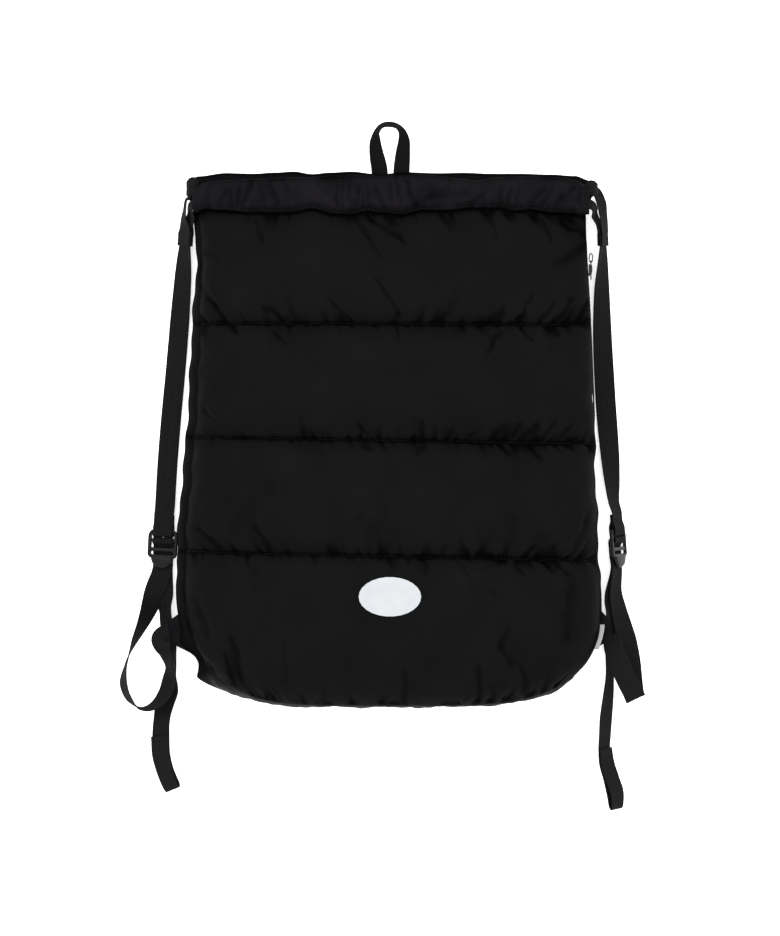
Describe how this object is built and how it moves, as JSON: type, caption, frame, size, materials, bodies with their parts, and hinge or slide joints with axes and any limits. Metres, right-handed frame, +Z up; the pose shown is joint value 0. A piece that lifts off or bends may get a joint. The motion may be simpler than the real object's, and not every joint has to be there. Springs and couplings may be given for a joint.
{
  "type": "quilted drawstring backpack",
  "caption": "Padded quilted drawstring backpack lying on its back, with webbing shoulder straps, ladder-lock buckles, a side zip and a top loop.",
  "frame": {"origin": "on the flat underside of the back panel, in the middle of the bag's width as pictured, at the middle of the third padded band", "axes": "+Y towards the mouth, +Z up, away from the surface the bag lies on, +X to the right in front view"},
  "size_m": [0.4865, 0.637, 0.0917],
  "materials": {
    "quilted_nylon": "semi-matt padded nylon, black",
    "plain_nylon": "semi-matt plain nylon, black with a slight purple tone",
    "webbing": "ribbed black webbing",
    "buckle_plastic": "satin black moulded plastic",
    "patch": "white satin patch, left bare",
    "tag": "blank white woven tag",
    "zip_tape": "black zip teeth",
    "zip_metal": "black painted zip slider and pull"
  },
  "bodies": {
    "root": {"front_panel": "quilted_nylon", "back_panel": "quilted_nylon", "bottom_gusset": "plain_nylon", "front_casing": "plain_nylon", "back_casing": "plain_nylon", "drawstring_left": "webbing", "shoulder_strap_left": "webbing", "buckle_left": "buckle_plastic", "lower_strap_left": "webbing", "corner_tab_left": "plain_nylon", "drawstring_right": "webbing", "shoulder_strap_right": "webbing", "buckle_right": "buckle_plastic", "lower_strap_right": "webbing", "corner_tab_right": "plain_nylon", "hang_loop": "webbing", "oval_patch": "patch", "side_tag": "tag", "zip_chain": "zip_tape", "zip_slider": "zip_metal"},
    "zip_pull": {"zip_pull": "zip_metal"}
  },
  "joints": [
    {"name": "pull_swing", "type": "hinge", "parent": "root", "child": "zip_pull", "pos_m": [0.18707, 0.21602, 0.02706], "axis": [1, 0, 0], "range_deg": [-70, 70]}
  ]
}
